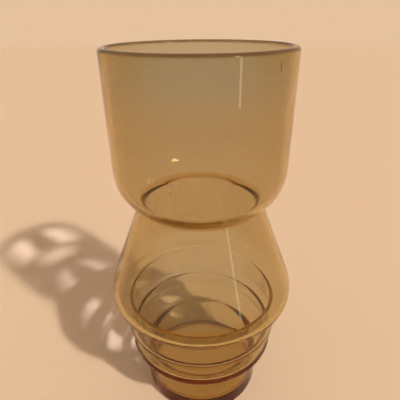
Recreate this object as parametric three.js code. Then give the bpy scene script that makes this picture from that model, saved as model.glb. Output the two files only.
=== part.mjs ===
// Hooped vase: one piece of mould-blown amber glass, open at the top.
// From the top down: a rounded cup, a pinched waist, a cone that ends in a
// rounded lip, two hoops that step inwards, and a thick-bottomed foot.
// Millimetres, +Z up, standing on z = 0 with the axis of revolution on Z.
// Every outline point is [radius, height].

import * as THREE from 'three';

// ---- overall
const HEIGHT = 200;
const SIDES = 64;

// ---- rim: fire-polished, a little thicker than the wall below it
const RIM_RADIUS = 43.6;
const RIM_WALL = 3.8;
const RIM_ROUNDING = 1.7;
const RIM_SWELL_DEPTH = 14;

// ---- cup
const CUP_LOW_RADIUS = 43.3;
const CUP_LOW_Z = 152;
const CUP_WALL = 3.0;
const BOWL_SIDE_HANDLE = 8.0;
const BOWL_BASE_HANDLE = 15.0;
const BOWL_BASE_ANGLE = 33.4;

// ---- waist: the V groove between cup and cone
const WAIST = [32.0, 125.4];
const WAIST_ROUNDING = 1.2;
const WAIST_WALL = 2.6;
const WAIST_INNER_ROUNDING = 4.2;

// ---- cone and the lip under it
const CONE_LOW = [49.6, 80.4];
const CONE_WALL = 2.8;
const LIP_SIDE_HANDLE = 6.8;
const LIP_BASE_HANDLE = 6.0;
const LIP_BASE_RISE = 0.3;
const LIP_BASE = [45.9, 67.4];

// ---- the two hoops, each flaring a little downwards
const GROOVE_ROUNDING = 0.8;
const HOOP_ROUNDING = 2.4;
const HOOP_WALL = 2.0;
const HOOP_INNER_ROUNDING = 1.0;
const UPPER_GROOVE = [42.1, 66.9];
const UPPER_HOOP_CORNER = [44.6, 46.9];
const LOWER_GROOVE = [40.3, 46.6];
const LOWER_HOOP_CORNER = [42.9, 34.0];

// ---- foot: nearly straight, on a solid glass bottom, under a sloping step
const FOOT_TOP = [33.9, 27.5];
const FOOT_TOP_ROUNDING = 3.0;
const STEP_WALL = 3.0;
const STEP_INNER_ROUNDING = 2.0;
const FOOT_RADIUS = 34.9;
const FOOT_ROUNDING = 2.0;
const FOOT_WALL = 3.8;
const FLOOR_THICKNESS = 5.6;
const FLOOR_ROUNDING = 5.0;

// ---------------------------------------------------------------- outline tools

const rad = (degrees) => (degrees * Math.PI) / 180;

function along(from, to, distance) {
  const dr = to[0] - from[0];
  const dz = to[1] - from[1];
  const length = Math.hypot(dr, dz);
  return [from[0] + (dr / length) * distance, from[1] + (dz / length) * distance];
}

// Parallel of the line a-b, moved by `distance` to the left of its direction.
function parallel(a, b, distance) {
  const length = Math.hypot(b[0] - a[0], b[1] - a[1]);
  const nr = (-(b[1] - a[1]) / length) * distance;
  const nz = ((b[0] - a[0]) / length) * distance;
  return [[a[0] + nr, a[1] + nz], [b[0] + nr, b[1] + nz]];
}

function bezier(p0, p1, p2, p3, steps) {
  const v = [p0, p1, p2, p3].map((p) => new THREE.Vector2(p[0], p[1]));
  const curve = new THREE.CubicBezierCurve(v[0], v[1], v[2], v[3]);
  return curve.getPoints(steps).map((p) => [p.x, p.y]);
}

// Replaces the corner between two straight runs with a tangent arc.
function fillet(before, corner, after, radius, steps) {
  const a = along(corner, before, 1);
  const b = along(corner, after, 1);
  const ua = [a[0] - corner[0], a[1] - corner[1]];
  const ub = [b[0] - corner[0], b[1] - corner[1]];
  const half = Math.acos(ua[0] * ub[0] + ua[1] * ub[1]) / 2;
  const reach = radius / Math.tan(half);
  const middle = along([0, 0], [ua[0] + ub[0], ua[1] + ub[1]], radius / Math.sin(half));
  const centre = [corner[0] + middle[0], corner[1] + middle[1]];
  const start = along(corner, before, reach);
  const end = along(corner, after, reach);
  const from = Math.atan2(start[1] - centre[1], start[0] - centre[0]);
  let sweep = Math.atan2(end[1] - centre[1], end[0] - centre[0]) - from;
  if (sweep > Math.PI) sweep -= 2 * Math.PI;
  if (sweep < -Math.PI) sweep += 2 * Math.PI;
  const points = [];
  for (let i = 0; i <= steps; i += 1) {
    const angle = from + (sweep * i) / steps;
    points.push([centre[0] + radius * Math.cos(angle), centre[1] + radius * Math.sin(angle)]);
  }
  return points;
}

// Where the lines a and b, each given by two points, cross.
function meet(a, b) {
  const ur = a[1][0] - a[0][0];
  const uz = a[1][1] - a[0][1];
  const vr = b[1][0] - b[0][0];
  const vz = b[1][1] - b[0][1];
  const t = ((b[0][0] - a[0][0]) * vz - (b[0][1] - a[0][1]) * vr) / (ur * vz - uz * vr);
  return [a[0][0] + ur * t, a[0][1] + uz * t];
}

// The curve one wall inside an upward outline, where the wall tapers along it.
function inward(points, startWall, endWall) {
  const last = points.length - 1;
  return points.map((p, i) => {
    const a = points[Math.max(i - 1, 0)];
    const b = points[Math.min(i + 1, last)];
    const wall = startWall + ((endWall - startWall) * i) / last;
    const length = Math.hypot(b[0] - a[0], b[1] - a[1]);
    return [p[0] - ((b[1] - a[1]) / length) * wall, p[1] + ((b[0] - a[0]) / length) * wall];
  });
}

// ---------------------------------------------------------------- curves shared by both skins

const BASE_RUN = [
  [FOOT_RADIUS, 0],
  FOOT_TOP,
  LOWER_HOOP_CORNER,
  LOWER_GROOVE,
  UPPER_HOOP_CORNER,
  UPPER_GROOVE,
  LIP_BASE,
];

const LIP = bezier(
  LIP_BASE,
  [LIP_BASE[0] + LIP_BASE_HANDLE, LIP_BASE[1] + LIP_BASE_RISE],
  along(CONE_LOW, WAIST, -LIP_SIDE_HANDLE),
  CONE_LOW,
  6,
);

const BOWL = bezier(
  WAIST,
  [
    WAIST[0] + Math.cos(rad(BOWL_BASE_ANGLE)) * BOWL_BASE_HANDLE,
    WAIST[1] + Math.sin(rad(BOWL_BASE_ANGLE)) * BOWL_BASE_HANDLE,
  ],
  [CUP_LOW_RADIUS, CUP_LOW_Z - BOWL_SIDE_HANDLE],
  [CUP_LOW_RADIUS, CUP_LOW_Z],
  9,
);

// ---------------------------------------------------------------- outer skin, base to rim

function outerSkin() {
  const [base, footTop, lowCorner, lowGroove, highCorner, highGroove, lipBase] = BASE_RUN;
  return [
    ...fillet([0, 0], base, footTop, FOOT_ROUNDING, 3),
    ...fillet(base, footTop, lowCorner, FOOT_TOP_ROUNDING, 3),
    ...fillet(footTop, lowCorner, lowGroove, HOOP_ROUNDING, 3),
    ...fillet(lowCorner, lowGroove, highCorner, GROOVE_ROUNDING, 2),
    ...fillet(lowGroove, highCorner, highGroove, HOOP_ROUNDING, 3),
    ...fillet(highCorner, highGroove, lipBase, GROOVE_ROUNDING, 2),
    ...LIP,
    ...fillet(CONE_LOW, WAIST, BOWL[1], WAIST_ROUNDING, 3),
    ...BOWL.slice(1),
  ];
}

// ---------------------------------------------------------------- rim, outside to inside

function rim() {
  const outerCorner = [RIM_RADIUS, HEIGHT];
  const innerCorner = [RIM_RADIUS - RIM_WALL, HEIGHT];
  const below = [RIM_RADIUS - CUP_WALL, HEIGHT - RIM_SWELL_DEPTH];
  return [
    ...fillet([CUP_LOW_RADIUS, CUP_LOW_Z], outerCorner, innerCorner, RIM_ROUNDING, 3),
    ...fillet(outerCorner, innerCorner, below, RIM_ROUNDING, 3),
  ];
}

// ---------------------------------------------------------------- inner skin, rim to floor

function innerSkin() {
  const walls = [FOOT_WALL, STEP_WALL, HOOP_WALL, HOOP_WALL, HOOP_WALL, HOOP_WALL];
  const sides = walls.map((wall, i) => parallel(BASE_RUN[i], BASE_RUN[i + 1], wall));
  const [foot, lowShelf, lowHoop, highShelf, highHoop, lipShelf] = sides;
  const floorEdge = meet(foot, [[0, FLOOR_THICKNESS], [1, FLOOR_THICKNESS]]);
  const stepBase = meet(foot, lowShelf);
  const stepTop = meet(lowShelf, lowHoop);
  const lowRidge = meet(lowHoop, highShelf);
  const highCorner = meet(highShelf, highHoop);
  const highRidge = meet(highHoop, lipShelf);
  const lip = inward(LIP, CONE_WALL, CONE_WALL);
  const bowl = inward(BOWL, WAIST_WALL, CUP_WALL);
  const cone = parallel(CONE_LOW, WAIST, CONE_WALL);
  const waist = meet(cone, [bowl[0], bowl[1]]);
  const ridge = GROOVE_ROUNDING + HOOP_WALL;
  const upward = [
    ...fillet([0, FLOOR_THICKNESS], floorEdge, stepBase, FLOOR_ROUNDING, 3),
    ...fillet(floorEdge, stepBase, stepTop, FOOT_TOP_ROUNDING + STEP_WALL, 3),
    ...fillet(stepBase, stepTop, lowRidge, STEP_INNER_ROUNDING, 2),
    ...fillet(stepTop, lowRidge, highCorner, ridge, 4),
    ...fillet(lowRidge, highCorner, highRidge, HOOP_INNER_ROUNDING, 2),
    ...fillet(highCorner, highRidge, lip[0], ridge, 4),
    ...lip.filter((p) => p[0] > highRidge[0] + ridge),
    ...fillet(cone[0], waist, bowl[1], WAIST_INNER_ROUNDING, 3),
    ...bowl.filter((p) => p[1] > waist[1] + WAIST_INNER_ROUNDING),
  ];
  return [[RIM_RADIUS - CUP_WALL, HEIGHT - RIM_SWELL_DEPTH], ...upward.reverse()];
}

// ---------------------------------------------------------------- the solid

function vaseGeometry() {
  const outline = [
    [0, 0],
    ...outerSkin(),
    ...rim(),
    ...innerSkin(),
    [0, FLOOR_THICKNESS],
  ];
  const points = outline.map(([r, z]) => new THREE.Vector2(r, z));
  const geometry = new THREE.LatheGeometry(points, SIDES);
  geometry.rotateX(Math.PI / 2);
  return geometry;
}

const amberGlass = new THREE.MeshStandardMaterial({
  color: 0xc08a3e,
  roughness: 0.04,
  metalness: 0,
});

const vase = new THREE.Mesh(vaseGeometry(), amberGlass);
vase.name = 'vase';

const part = new THREE.Group();
part.name = 'hooped_vase';
part.add(vase);

export default part;
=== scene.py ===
"""A hooped vase of clear amber blown glass on a plain pale floor.

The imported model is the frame. The smooth glass body below is built from the same
driving dimensions as the CAD outline, in millimetres, and stands for the CAD node.
"""

import math

import bmesh
import bpy
from mathutils import Matrix, Vector


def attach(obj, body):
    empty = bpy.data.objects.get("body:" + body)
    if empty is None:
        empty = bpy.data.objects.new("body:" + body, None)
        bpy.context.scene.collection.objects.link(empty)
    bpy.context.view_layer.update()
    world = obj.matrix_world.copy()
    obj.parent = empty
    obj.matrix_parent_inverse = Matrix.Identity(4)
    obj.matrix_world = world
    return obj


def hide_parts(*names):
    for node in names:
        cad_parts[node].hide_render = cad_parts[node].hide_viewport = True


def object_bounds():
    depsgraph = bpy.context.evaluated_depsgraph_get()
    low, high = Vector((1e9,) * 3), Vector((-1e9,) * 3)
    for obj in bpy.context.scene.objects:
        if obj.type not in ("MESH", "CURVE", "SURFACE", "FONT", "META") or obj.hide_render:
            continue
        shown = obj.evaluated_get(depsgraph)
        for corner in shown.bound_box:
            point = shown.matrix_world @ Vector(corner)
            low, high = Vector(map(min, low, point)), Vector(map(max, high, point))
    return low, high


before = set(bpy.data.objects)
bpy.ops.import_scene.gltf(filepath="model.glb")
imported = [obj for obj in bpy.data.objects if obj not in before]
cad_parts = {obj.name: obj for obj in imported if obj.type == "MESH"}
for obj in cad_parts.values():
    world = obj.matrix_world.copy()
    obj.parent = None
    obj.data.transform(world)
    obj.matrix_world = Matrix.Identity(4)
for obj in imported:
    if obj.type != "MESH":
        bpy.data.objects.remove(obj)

CAD_LOW, CAD_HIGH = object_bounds()

MM = 0.001
TAU = 2 * math.pi
BLACK = (0.0, 0.0, 0.0)

# ---------------------------------------------------------------- driving dimensions, mm

HEIGHT = (CAD_HIGH.z - CAD_LOW.z) / MM

RIM_RADIUS = 43.6
RIM_WALL = 3.8
RIM_ROUNDING = 1.7
RIM_SWELL_DEPTH = 14

CUP_LOW_RADIUS = 43.3
CUP_LOW_Z = 152
CUP_WALL = 3.0
BOWL_SIDE_HANDLE = 8.0
BOWL_BASE_HANDLE = 15.0
BOWL_BASE_ANGLE = 33.4

WAIST_RADIUS = 32.0
WAIST_Z = 125.4
WAIST_ROUNDING = 1.2
WAIST_INNER_ROUNDING = 4.2
# The inner arc hands over to the bowl at this share of its radius above the waist.
WAIST_ARC_SHARE = 0.76
WAIST_WALL = 2.6

CONE_LOW_RADIUS = 49.6
CONE_LOW_Z = 80.4
CONE_WALL = 2.8
LIP_SIDE_HANDLE = 6.8
LIP_BASE_HANDLE = 6.0
LIP_BASE_RISE = 0.3
LIP_BASE_RADIUS = 45.9
LIP_Z = 67.4
# Inside, the lip curve starts this far out from the ridge of the groove under it.
LIP_CLEARANCE = 4

GROOVE_ROUNDING = 0.8
HOOP_ROUNDING = 2.4
HOOP_WALL = 2.0
HOOP_INNER_ROUNDING = 1.0
UPPER_GROOVE = (42.1, 66.9)
UPPER_HOOP_CORNER = (44.6, 46.9)
LOWER_GROOVE = (40.3, 46.6)
LOWER_HOOP_CORNER = (42.9, 34.0)

FOOT_TOP = (33.9, 27.5)
FOOT_RADIUS = 34.9
FOOT_ROUNDING = 2.0
FOOT_WALL = 3.8
FOOT_TOP_ROUNDING = 3.0
STEP_WALL = 3.0
STEP_INNER_ROUNDING = 2.0
FLOOR_THICKNESS = 5.6
FLOOR_ROUNDING = 5.0
# The flat underside is a ring of this width round a fan of triangles.
UNDERSIDE_RING = 8

# ---------------------------------------------------------------- fineness

SEGMENTS = 256
LONGEST_STEP = 2.0
SHORTEST_STEP = 0.02
LIP_STEPS = 24
BOWL_STEPS = 40
FINE_ARC = 14
BASE_ARC = 12
PLAIN_ARC = 10
SMALL_ARC = 8
GROOVE_ARC = 6

# ---------------------------------------------------------------- outline tools


def along(start, end, distance):
    """The point at a distance from start towards end."""
    dr, dz = end[0] - start[0], end[1] - start[1]
    length = math.hypot(dr, dz)
    return (start[0] + dr / length * distance, start[1] + dz / length * distance)


def parallel(a, b, distance):
    """The line a-b moved to the left of its direction."""
    length = math.hypot(b[0] - a[0], b[1] - a[1])
    nr = -(b[1] - a[1]) / length * distance
    nz = (b[0] - a[0]) / length * distance
    return (a[0] + nr, a[1] + nz), (b[0] + nr, b[1] + nz)


def bezier(p0, p1, p2, p3, steps):
    points = []
    for i in range(steps + 1):
        t = i / steps
        s = 1 - t
        weights = (s**3, 3 * s * s * t, 3 * s * t * t, t**3)
        points.append(
            tuple(
                sum(w * p[k] for w, p in zip(weights, (p0, p1, p2, p3)))
                for k in (0, 1)
            )
        )
    return points


def fillet(before, corner, after, radius, steps):
    """A tangent arc in place of the corner between two straight runs."""
    ua = along(corner, before, 1)
    ub = along(corner, after, 1)
    ua = (ua[0] - corner[0], ua[1] - corner[1])
    ub = (ub[0] - corner[0], ub[1] - corner[1])
    half = math.acos(max(-1, min(1, ua[0] * ub[0] + ua[1] * ub[1]))) / 2
    reach = radius / math.tan(half)
    middle = along((0, 0), (ua[0] + ub[0], ua[1] + ub[1]), radius / math.sin(half))
    centre = (corner[0] + middle[0], corner[1] + middle[1])
    start, end = along(corner, before, reach), along(corner, after, reach)
    first = math.atan2(start[1] - centre[1], start[0] - centre[0])
    sweep = math.atan2(end[1] - centre[1], end[0] - centre[0]) - first
    sweep = (sweep + math.pi) % TAU - math.pi
    return [
        (
            centre[0] + radius * math.cos(first + sweep * i / steps),
            centre[1] + radius * math.sin(first + sweep * i / steps),
        )
        for i in range(steps + 1)
    ]


def base_run():
    """The straight-sided corners from the foot up to the lip, outside."""
    return (
        (FOOT_RADIUS, 0),
        FOOT_TOP,
        LOWER_HOOP_CORNER,
        LOWER_GROOVE,
        UPPER_HOOP_CORNER,
        UPPER_GROOVE,
        (LIP_BASE_RADIUS, LIP_Z),
    )


WAIST = (WAIST_RADIUS, WAIST_Z)
CONE_LOW = (CONE_LOW_RADIUS, CONE_LOW_Z)


def lip_curve():
    return bezier(
        (LIP_BASE_RADIUS, LIP_Z),
        (LIP_BASE_RADIUS + LIP_BASE_HANDLE, LIP_Z + LIP_BASE_RISE),
        along(CONE_LOW, WAIST, -LIP_SIDE_HANDLE),
        CONE_LOW,
        LIP_STEPS,
    )


def bowl_curve():
    angle = math.radians(BOWL_BASE_ANGLE)
    handle = (
        WAIST_RADIUS + math.cos(angle) * BOWL_BASE_HANDLE,
        WAIST_Z + math.sin(angle) * BOWL_BASE_HANDLE,
    )
    return bezier(
        WAIST,
        handle,
        (CUP_LOW_RADIUS, CUP_LOW_Z - BOWL_SIDE_HANDLE),
        (CUP_LOW_RADIUS, CUP_LOW_Z),
        BOWL_STEPS,
    )


def outer_skin():
    """From the base edge up to the low end of the cup's straight wall."""
    base, foot_top, low_corner, low_groove, high_corner, high_groove, lip_base = base_run()
    bowl = bowl_curve()
    return [
        *fillet((0, 0), base, foot_top, FOOT_ROUNDING, BASE_ARC),
        *fillet(base, foot_top, low_corner, FOOT_TOP_ROUNDING, SMALL_ARC),
        *fillet(foot_top, low_corner, low_groove, HOOP_ROUNDING, FINE_ARC),
        *fillet(low_corner, low_groove, high_corner, GROOVE_ROUNDING, GROOVE_ARC),
        *fillet(low_groove, high_corner, high_groove, HOOP_ROUNDING, FINE_ARC),
        *fillet(high_corner, high_groove, lip_base, GROOVE_ROUNDING, GROOVE_ARC),
        *lip_curve(),
        *fillet(CONE_LOW, WAIST, bowl[1], WAIST_ROUNDING, PLAIN_ARC),
        *[p for p in bowl if p[1] > WAIST_Z + WAIST_ROUNDING],
    ]


def rim():
    """The fire-polished edge, from the outside over to the inside."""
    outer_corner = (RIM_RADIUS, HEIGHT)
    inner_corner = (RIM_RADIUS - RIM_WALL, HEIGHT)
    below = (RIM_RADIUS - CUP_WALL, HEIGHT - RIM_SWELL_DEPTH)
    cup_low = (CUP_LOW_RADIUS, CUP_LOW_Z)
    return [
        *fillet(cup_low, outer_corner, inner_corner, RIM_ROUNDING, PLAIN_ARC),
        *fillet(outer_corner, inner_corner, below, RIM_ROUNDING, PLAIN_ARC),
    ]


def meet(a, b):
    """Where two lines, each given by two points, cross."""
    (ax, ay), (bx, by) = a
    (cx, cy), (dx, dy) = b
    ux, uy, vx, vy = bx - ax, by - ay, dx - cx, dy - cy
    t = ((cx - ax) * vy - (cy - ay) * vx) / (ux * vy - uy * vx)
    return (ax + ux * t, ay + uy * t)


def inward(points, start_wall, end_wall):
    """The curve one wall inside an upward outline, where the wall tapers along it."""
    out = []
    for i, p in enumerate(points):
        wall = start_wall + (end_wall - start_wall) * i / (len(points) - 1)
        a, b = points[max(i - 1, 0)], points[min(i + 1, len(points) - 1)]
        dr, dz = b[0] - a[0], b[1] - a[1]
        length = math.hypot(dr, dz)
        out.append((p[0] - dz / length * wall, p[1] + dr / length * wall))
    return out


def inner_skin():
    """From the rim's swell down to the edge of the flat floor."""
    run = base_run()
    walls = (FOOT_WALL, STEP_WALL, HOOP_WALL, HOOP_WALL, HOOP_WALL, HOOP_WALL)
    sides = [parallel(a, b, wall) for a, b, wall in zip(run, run[1:], walls)]
    foot, low_shelf, low_hoop, high_shelf, high_hoop, lip_shelf = sides
    low_ridge = meet(low_hoop, high_shelf)
    high_corner = meet(high_shelf, high_hoop)
    high_ridge = meet(high_hoop, lip_shelf)
    step_base = meet(foot, low_shelf)
    step_top = meet(low_shelf, low_hoop)
    floor_edge = meet(foot, ((0, FLOOR_THICKNESS), (1, FLOOR_THICKNESS)))
    lip = inward(lip_curve(), CONE_WALL, CONE_WALL)
    bowl = inward(bowl_curve(), WAIST_WALL, CUP_WALL)
    cone = parallel(CONE_LOW, WAIST, CONE_WALL)
    waist = meet(cone, (bowl[0], bowl[1]))
    cup_high = (RIM_RADIUS - CUP_WALL, HEIGHT - RIM_SWELL_DEPTH)
    ridge_rounding = GROOVE_ROUNDING + HOOP_WALL
    bowl_start = waist[1] + WAIST_INNER_ROUNDING * WAIST_ARC_SHARE
    upward = [
        *fillet((0, FLOOR_THICKNESS), floor_edge, step_base, FLOOR_ROUNDING, BASE_ARC),
        *fillet(floor_edge, step_base, step_top, FOOT_TOP_ROUNDING + STEP_WALL, PLAIN_ARC),
        *fillet(step_base, step_top, low_ridge, STEP_INNER_ROUNDING, PLAIN_ARC),
        *fillet(step_top, low_ridge, high_corner, ridge_rounding, FINE_ARC),
        *fillet(low_ridge, high_corner, high_ridge, HOOP_INNER_ROUNDING, SMALL_ARC),
        *fillet(high_corner, high_ridge, lip[0], ridge_rounding, FINE_ARC),
        *[p for p in lip if p[0] > high_ridge[0] + LIP_CLEARANCE],
        *fillet(cone[0], waist, bowl[1], WAIST_INNER_ROUNDING, FINE_ARC),
        *[p for p in bowl if p[1] > bowl_start],
    ]
    return [cup_high, *reversed(upward)]


def spread(points, longest):
    """The same outline with no step longer than `longest`."""
    out = [points[0]]
    for a, b in zip(points, points[1:]):
        length = math.hypot(b[0] - a[0], b[1] - a[1])
        if length < SHORTEST_STEP:
            continue
        count = max(1, math.ceil(length / longest))
        out += [
            (a[0] + (b[0] - a[0]) * i / count, a[1] + (b[1] - a[1]) * i / count)
            for i in range(1, count + 1)
        ]
    return out


# ---------------------------------------------------------------- the glass body


def vase_mesh():
    outer = spread([(FOOT_RADIUS - UNDERSIDE_RING, 0), *outer_skin(), *rim()], LONGEST_STEP)
    inner = spread([rim()[-1], *inner_skin()], LONGEST_STEP)[1:]
    outline = [(r, z, False) for r, z in outer] + [(r, z, True) for r, z in inner]
    mesh = bpy.data.meshes.new("vase_body")
    bm = bmesh.new()
    rings = []
    for r, z, inside in outline:
        ring = []
        for i in range(SEGMENTS):
            angle = TAU * i / SEGMENTS
            ring.append(
                bm.verts.new((r * MM * math.cos(angle), r * MM * math.sin(angle), z * MM))
            )
        rings.append(ring)
    for low, high in zip(rings, rings[1:]):
        for i in range(SEGMENTS):
            j = (i + 1) % SEGMENTS
            bm.faces.new((low[i], low[j], high[j], high[i]))
    for ring, z in ((rings[0], 0), (rings[-1], FLOOR_THICKNESS * MM)):
        middle = bm.verts.new((0, 0, z))
        for i in range(SEGMENTS):
            bm.faces.new((middle, ring[i], ring[(i + 1) % SEGMENTS]))
    bmesh.ops.recalc_face_normals(bm, faces=bm.faces)
    bm.to_mesh(mesh)
    bm.free()
    mesh.polygons.foreach_set("use_smooth", [True] * len(mesh.polygons))
    return mesh


# ---------------------------------------------------------------- node helpers


def smooth_step(nodes, links, value, start, end):
    """0 below start and 1 above end, with an eased ramp between them."""
    step = nodes.new("ShaderNodeMapRange")
    step.interpolation_type = "SMOOTHSTEP"
    step.inputs["From Min"].default_value = start
    step.inputs["From Max"].default_value = end
    links.new(value, step.inputs["Value"])
    return step.outputs["Result"]


def blend_colours(nodes, links, factor, a, b):
    node = nodes.new("ShaderNodeMix")
    node.data_type = "RGBA"
    links.new(factor, node.inputs["Factor"])
    for name, value in (("A", a), ("B", b)):
        socket = next(s for s in node.inputs if s.name == name and s.type == "RGBA")
        if isinstance(value, tuple):
            socket.default_value = (*value, 1)
        else:
            links.new(value, socket)
    return next(s for s in node.outputs if s.type == "RGBA")


def arithmetic(nodes, links, operation, *values):
    """A math node; each value is a number or an output socket."""
    node = nodes.new("ShaderNodeMath")
    node.operation = operation
    for socket, value in zip(node.inputs, values):
        if isinstance(value, (int, float)):
            socket.default_value = value
        else:
            links.new(value, socket)
    return node.outputs[0]


def noise(nodes, links, place, scale, detail, stretch=(1, 1, 1), turn=(0, 0, 0)):
    mapping = nodes.new("ShaderNodeMapping")
    mapping.inputs["Scale"].default_value = stretch
    mapping.inputs["Rotation"].default_value = turn
    links.new(place, mapping.inputs["Vector"])
    texture = nodes.new("ShaderNodeTexNoise")
    texture.inputs["Scale"].default_value = scale
    texture.inputs["Detail"].default_value = detail
    links.new(mapping.outputs[0], texture.inputs["Vector"])
    return texture.outputs["Fac"]


# ---------------------------------------------------------------- amber glass

ABSORPTION = (28, 66, 192)
ABSORPTION_SCALE = 400
IOR = 1.5
LOW_TINT = (0.84, 0.855, 0.93)
MIDDLE_TINT = (0.775, 0.80, 0.90)
# Towards the rim the tint is partly a painted cool reflection of light from the front.
HIGH_TINT_AND_COOL_REFLECTION = (0.70, 0.75, 0.92)
# Painted shade: the rim and waist colours darken the glass where its thickness draws dark
# lines.
RIM_PAINTED_SHADE = (0.16, 0.11, 0.08)
WAIST_PAINTED_SHADE = (0.66, 0.46, 0.26)
LOW_TO_MIDDLE = (0.120, 0.150)
MIDDLE_TO_HIGH = (0.155, 0.195)
# Where the painted shade lies: a band just under the top of the rim and a thin one round the
# waist.
RIM_SHADE_BAND = (0.1980, 0.1993)
WAIST_SHADE_BAND = (0.0016, 0.0003)
GLOSS_TINT = (0.90, 0.71, 0.47)
WAVE_DEPTH = 0.00035
SCRATCH_DEPTH = 0.00004
SEAM_DEPTH = 0.00008
SMUDGE_ROUGHNESS = 0.03
SMUDGE_SCALE = 45
SMUDGE_DETAIL = 4
SMUDGE_EDGE = (0.5, 0.8)
WAVE_SCALE = 28
WAVE_STRETCH = (1, 1, 0.5)
CORD_SCALE = 22
CORD_DETAIL = 3
CORD_STRETCH = (1, 1, 0.35)
CORD_EDGE = (0.45, 0.75)
CORD_STRENGTH = 0.25
CORD_TINT = (0.80, 0.78, 0.76)
SCRATCH_SCALE = 300
SCRATCH_STRETCH = (1, 1, 0.1)
SCRATCH_TURN = (0.2, 0.7, 0.0)
SCRATCH_EDGE = (0.735, 0.76)
SCRATCH_PATCH_SCALE = 30
SCRATCH_PATCH_EDGE = (0.58, 0.62)
SCRATCH_TINT = (0.55, 0.47, 0.38)
SCRATCH_ROUGHNESS = 0.3
SEAM_OFFSET = 0.003
SEAM_HALF_WIDTH = 0.0007


def glass_tint_and_painted_light(nodes, links, place, height):
    """Warmer below and cool grey towards the rim, a little uneven as blown glass is.
    The cool grey towards the rim is a painted cool reflection laid over the amber.

    The dark band on the rim and the brown one at the waist are painted shade: they deepen
    the dark lines that the thickness of the glass draws there, and are not a change in the
    glass.
    """
    low = smooth_step(nodes, links, height, *LOW_TO_MIDDLE)
    # Painted reflection: the tint turns cool grey towards the rim.
    high = smooth_step(nodes, links, height, *MIDDLE_TO_HIGH)
    # Painted shade: a dark band along the rim.
    edge = smooth_step(nodes, links, height, *RIM_SHADE_BAND)
    tint_and_painted_light = blend_colours(nodes, links, low, LOW_TINT, MIDDLE_TINT)
    tint_and_painted_light = blend_colours(nodes, links, high, tint_and_painted_light, HIGH_TINT_AND_COOL_REFLECTION)
    tint_and_painted_light = blend_colours(nodes, links, edge, tint_and_painted_light, RIM_PAINTED_SHADE)
    # Painted shade: a brown band round the waist.
    from_waist = arithmetic(nodes, links, "SUBTRACT", height, WAIST_Z * MM)
    from_waist = arithmetic(nodes, links, "ABSOLUTE", from_waist)
    waist = smooth_step(nodes, links, from_waist, *WAIST_SHADE_BAND)
    tint_and_painted_light = blend_colours(nodes, links, waist, tint_and_painted_light, WAIST_PAINTED_SHADE)
    cords = noise(nodes, links, place, CORD_SCALE, CORD_DETAIL, CORD_STRETCH)
    streak = smooth_step(nodes, links, cords, *CORD_EDGE)
    faint = arithmetic(nodes, links, "MULTIPLY", streak, CORD_STRENGTH)
    return blend_colours(nodes, links, faint, tint_and_painted_light, CORD_TINT)


def scratch_mask(nodes, links, place):
    """A few short fine scratches, in patches."""
    lines = noise(nodes, links, place, SCRATCH_SCALE, 1, SCRATCH_STRETCH, SCRATCH_TURN)
    thin = smooth_step(nodes, links, lines, *SCRATCH_EDGE)
    patches = noise(nodes, links, place, SCRATCH_PATCH_SCALE, 1)
    there = smooth_step(nodes, links, patches, *SCRATCH_PATCH_EDGE)
    return arithmetic(nodes, links, "MULTIPLY", thin, there)


def mould_seams(nodes, links, x):
    """Two faint upright ridges, front and back, where the mould halves met."""
    from_seam = arithmetic(nodes, links, "SUBTRACT", x, SEAM_OFFSET)
    from_seam = arithmetic(nodes, links, "ABSOLUTE", from_seam)
    return smooth_step(nodes, links, from_seam, SEAM_HALF_WIDTH, 0.0)


def amber_glass():
    material = bpy.data.materials.new("amber_glass")
    material.use_nodes = True
    nodes, links = material.node_tree.nodes, material.node_tree.links
    nodes.clear()
    out = nodes.new("ShaderNodeOutputMaterial")
    glass = nodes.new("ShaderNodeBsdfPrincipled")
    place = nodes.new("ShaderNodeTexCoord").outputs["Object"]
    split = nodes.new("ShaderNodeSeparateXYZ")
    links.new(place, split.inputs[0])
    tint_and_painted_light = glass_tint_and_painted_light(nodes, links, place, split.outputs["Z"])
    scratches = scratch_mask(nodes, links, place)
    links.new(
        blend_colours(nodes, links, scratches, tint_and_painted_light, SCRATCH_TINT),
        glass.inputs["Base Color"],
    )
    smudges = noise(nodes, links, place, SMUDGE_SCALE, SMUDGE_DETAIL)
    smudges = smooth_step(nodes, links, smudges, *SMUDGE_EDGE)
    rough = arithmetic(nodes, links, "MULTIPLY", smudges, SMUDGE_ROUGHNESS)
    scratched = arithmetic(nodes, links, "MULTIPLY", scratches, SCRATCH_ROUGHNESS)
    rough = arithmetic(nodes, links, "ADD", rough, scratched)
    links.new(rough, glass.inputs["Roughness"])
    waves = noise(nodes, links, place, WAVE_SCALE, 1, WAVE_STRETCH)
    height = arithmetic(nodes, links, "MULTIPLY", waves, WAVE_DEPTH)
    seams = mould_seams(nodes, links, split.outputs["X"])
    raised = arithmetic(nodes, links, "MULTIPLY", seams, SEAM_DEPTH)
    height = arithmetic(nodes, links, "ADD", height, raised)
    grooves = arithmetic(nodes, links, "MULTIPLY", scratches, SCRATCH_DEPTH)
    height = arithmetic(nodes, links, "SUBTRACT", height, grooves)
    bump = nodes.new("ShaderNodeBump")
    bump.inputs["Strength"].default_value = 1
    bump.inputs["Distance"].default_value = 1
    links.new(height, bump.inputs["Height"])
    links.new(bump.outputs[0], glass.inputs["Normal"])
    glass.inputs["IOR"].default_value = IOR
    glass.inputs["Specular Tint"].default_value = (*GLOSS_TINT, 1)
    glass.inputs["Transmission Weight"].default_value = 1
    links.new(glass.outputs[0], out.inputs["Surface"])
    depth = nodes.new("ShaderNodeVolumeAbsorption")
    depth.inputs["Color"].default_value = (*(1 - k / ABSORPTION_SCALE for k in ABSORPTION), 1)
    depth.inputs["Density"].default_value = ABSORPTION_SCALE
    links.new(depth.outputs[0], out.inputs["Volume"])
    return material


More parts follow.
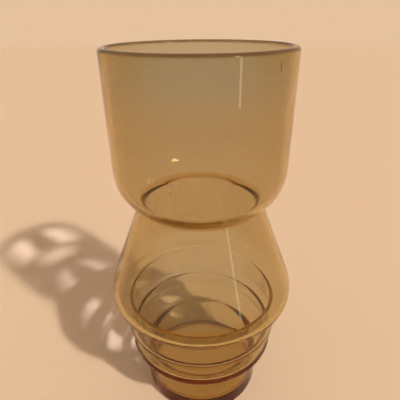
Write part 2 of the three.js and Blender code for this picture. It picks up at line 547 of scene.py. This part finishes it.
vase = bpy.data.objects.new("vase_body", vase_mesh())
bpy.context.scene.collection.objects.link(vase)
vase.data.materials.append(amber_glass())
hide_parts("vase")
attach(vase, "root")

# ---------------------------------------------------------------- floor, light, camera

scene = bpy.context.scene
scene.view_settings.view_transform = "Standard"
MAX_BOUNCES = 24
GLOSSY_BOUNCES = 8
DIFFUSE_BOUNCES = 4
scene.cycles.max_bounces = MAX_BOUNCES
scene.cycles.transmission_bounces = MAX_BOUNCES
scene.cycles.glossy_bounces = GLOSSY_BOUNCES
scene.cycles.diffuse_bounces = DIFFUSE_BOUNCES

FLOOR_GAP = 0.0002
FLOOR_HALF = 3.0
FLOOR_COLOUR = (0.68, 0.480, 0.312)
FLOOR_ROUGHNESS = 0.9
FLOOR_GLOSS = 0.2
POOL_OUTSIDE = 0.0352
POOL_INSIDE = 0.0325
POOL_COLOUR = (1.0, 0.66, 0.36)
POOL_STRENGTH = 0.40
APRON_DISTANCE = (0.4, 1.3)
APRON_FACING = (0.1, 0.75)
APRON_COLOUR = (0.79, 0.86, 0.94)


def floor_material():
    """Plain pale peach paper, with two glows.

    The pool under the foot stands in for light that comes through the solid bottom, and
    the apron, far in front of the vase, for a wide cool light from that side.
    """
    material = bpy.data.materials.new("floor")
    material.use_nodes = True
    nodes, links = material.node_tree.nodes, material.node_tree.links
    shader = nodes["Principled BSDF"]
    shader.inputs["Roughness"].default_value = FLOOR_ROUGHNESS
    shader.inputs["Specular IOR Level"].default_value = FLOOR_GLOSS
    place = nodes.new("ShaderNodeTexCoord").outputs["Object"]
    length = nodes.new("ShaderNodeVectorMath")
    length.operation = "LENGTH"
    links.new(place, length.inputs[0])
    distance = length.outputs["Value"]
    split = nodes.new("ShaderNodeSeparateXYZ")
    links.new(place, split.inputs[0])
    forward = arithmetic(nodes, links, "DIVIDE", split.outputs["Y"], distance)
    forward = arithmetic(nodes, links, "MULTIPLY", forward, -1)
    apron = arithmetic(
        nodes, links, "MULTIPLY",
        smooth_step(nodes, links, distance, *APRON_DISTANCE),
        smooth_step(nodes, links, forward, *APRON_FACING),
    )
    pool = smooth_step(nodes, links, distance, POOL_OUTSIDE, POOL_INSIDE)
    paper = blend_colours(nodes, links, apron, FLOOR_COLOUR, BLACK)
    links.new(paper, shader.inputs["Base Color"])
    pool_glow = tuple(POOL_STRENGTH * c for c in POOL_COLOUR)
    glow = blend_colours(nodes, links, pool, BLACK, pool_glow)
    glow = blend_colours(nodes, links, apron, glow, APRON_COLOUR)
    links.new(glow, shader.inputs["Emission Color"])
    shader.inputs["Emission Strength"].default_value = 1
    return material


FLOOR_CORNERS = ((-1, -1), (1, -1), (1, 1), (-1, 1))
floor_mesh = bpy.data.meshes.new("floor")
floor_mesh.from_pydata(
    [(x * FLOOR_HALF, y * FLOOR_HALF, -FLOOR_GAP) for x, y in FLOOR_CORNERS],
    [],
    [(0, 1, 2, 3)],
)
floor = bpy.data.objects.new("floor", floor_mesh)
scene.collection.objects.link(floor)
floor.data.materials.append(floor_material())

SKY_COLOUR = (0.53, 0.46, 0.40)
HORIZON_COLOUR = (0.79, 0.535, 0.342)
SKY_EDGE = (0.1, 0.6)
FRONT_FACING = (0.1, 0.75)
LAMP_COLOUR = (40.0, 38.0, 35.0)
LAMP_EDGE = (0.9962, 0.9986)

SUN_AZIMUTH_DEG = 48
SUN_ELEVATION_DEG = 42
SUN_ENERGY = 2.15
SUN_ANGLE_DEG = 2.6
SUN_AZIMUTH = math.radians(SUN_AZIMUTH_DEG)
SUN_ELEVATION = math.radians(SUN_ELEVATION_DEG)
SUN_TOWARD = Vector(
    (
        math.sin(SUN_AZIMUTH) * math.cos(SUN_ELEVATION),
        -math.cos(SUN_AZIMUTH) * math.cos(SUN_ELEVATION),
        math.sin(SUN_ELEVATION),
    )
)


def studio_world():
    """Pale overhead light, a peach horizon behind, a cool one in front, and the lamp's disc."""
    world = bpy.data.worlds.new("studio")
    world.use_nodes = True
    nodes, links = world.node_tree.nodes, world.node_tree.links
    direction = nodes.new("ShaderNodeTexCoord").outputs["Generated"]
    split = nodes.new("ShaderNodeSeparateXYZ")
    links.new(direction, split.inputs[0])
    forward = arithmetic(nodes, links, "MULTIPLY", split.outputs["Y"], -1)
    front = smooth_step(nodes, links, forward, *FRONT_FACING)
    horizon = blend_colours(nodes, links, front, HORIZON_COLOUR, APRON_COLOUR)
    above = smooth_step(nodes, links, split.outputs["Z"], *SKY_EDGE)
    room = blend_colours(nodes, links, above, horizon, SKY_COLOUR)
    facing = nodes.new("ShaderNodeVectorMath")
    facing.operation = "DOT_PRODUCT"
    links.new(direction, facing.inputs[0])
    facing.inputs[1].default_value = SUN_TOWARD
    lamp = smooth_step(nodes, links, facing.outputs["Value"], *LAMP_EDGE)
    links.new(
        blend_colours(nodes, links, lamp, room, LAMP_COLOUR),
        nodes["Background"].inputs["Color"],
    )
    return world


scene.world = studio_world()

key_data = bpy.data.lights.new("key", "SUN")
key_data.energy = SUN_ENERGY
key_data.angle = math.radians(SUN_ANGLE_DEG)
key = bpy.data.objects.new("key", key_data)
key.rotation_euler = SUN_TOWARD.to_track_quat("Z", "Y").to_euler()
scene.collection.objects.link(key)
key_data.cycles.is_caustics_light = True
vase.cycles.is_caustics_caster = True
floor.cycles.is_caustics_receiver = True

# Seen only as a reflection: it is hidden from the camera and from rays through the glass.
STRIP_DISTANCE = 0.8
STRIP_AZIMUTH = math.radians(43)
STRIP_SIZE = (0.035, 0.7)
STRIP_RADIANCE = 4.0
STRIP_COLOUR = (0.95, 1.0, 1.1)
strip_data = bpy.data.lights.new("strip", "AREA")
strip_data.shape = "RECTANGLE"
strip_data.size, strip_data.size_y = STRIP_SIZE
strip_data.energy = STRIP_RADIANCE * math.pi * STRIP_SIZE[0] * STRIP_SIZE[1]
strip_data.color = STRIP_COLOUR
strip = bpy.data.objects.new("strip", strip_data)
strip.location = (
    math.sin(STRIP_AZIMUTH) * STRIP_DISTANCE,
    -math.cos(STRIP_AZIMUTH) * STRIP_DISTANCE,
    STRIP_SIZE[1] / 2,
)
strip.rotation_euler = (math.radians(90), 0, STRIP_AZIMUTH)
strip.visible_camera = False
strip.visible_transmission = False
scene.collection.objects.link(strip)

CAMERA_PLACE = Vector((-0.00018, -0.1719, 0.2111))
CAMERA_PITCH = 26.85
CAMERA_ROLL = -0.54
CAMERA_SENSOR = 36
CAMERA_LENS = 32.69
CAMERA_NEAR = 0.01
camera_data = bpy.data.cameras.new("camera")
camera_data.sensor_width = CAMERA_SENSOR
camera_data.lens = CAMERA_LENS
camera_data.clip_start = CAMERA_NEAR
camera = bpy.data.objects.new("camera", camera_data)
camera.matrix_world = (
    Matrix.Translation(CAMERA_PLACE)
    @ Matrix.Rotation(math.radians(90 - CAMERA_PITCH), 4, "X")
    @ Matrix.Rotation(math.radians(CAMERA_ROLL), 4, "Z")
)
scene.collection.objects.link(camera)
scene.camera = camera
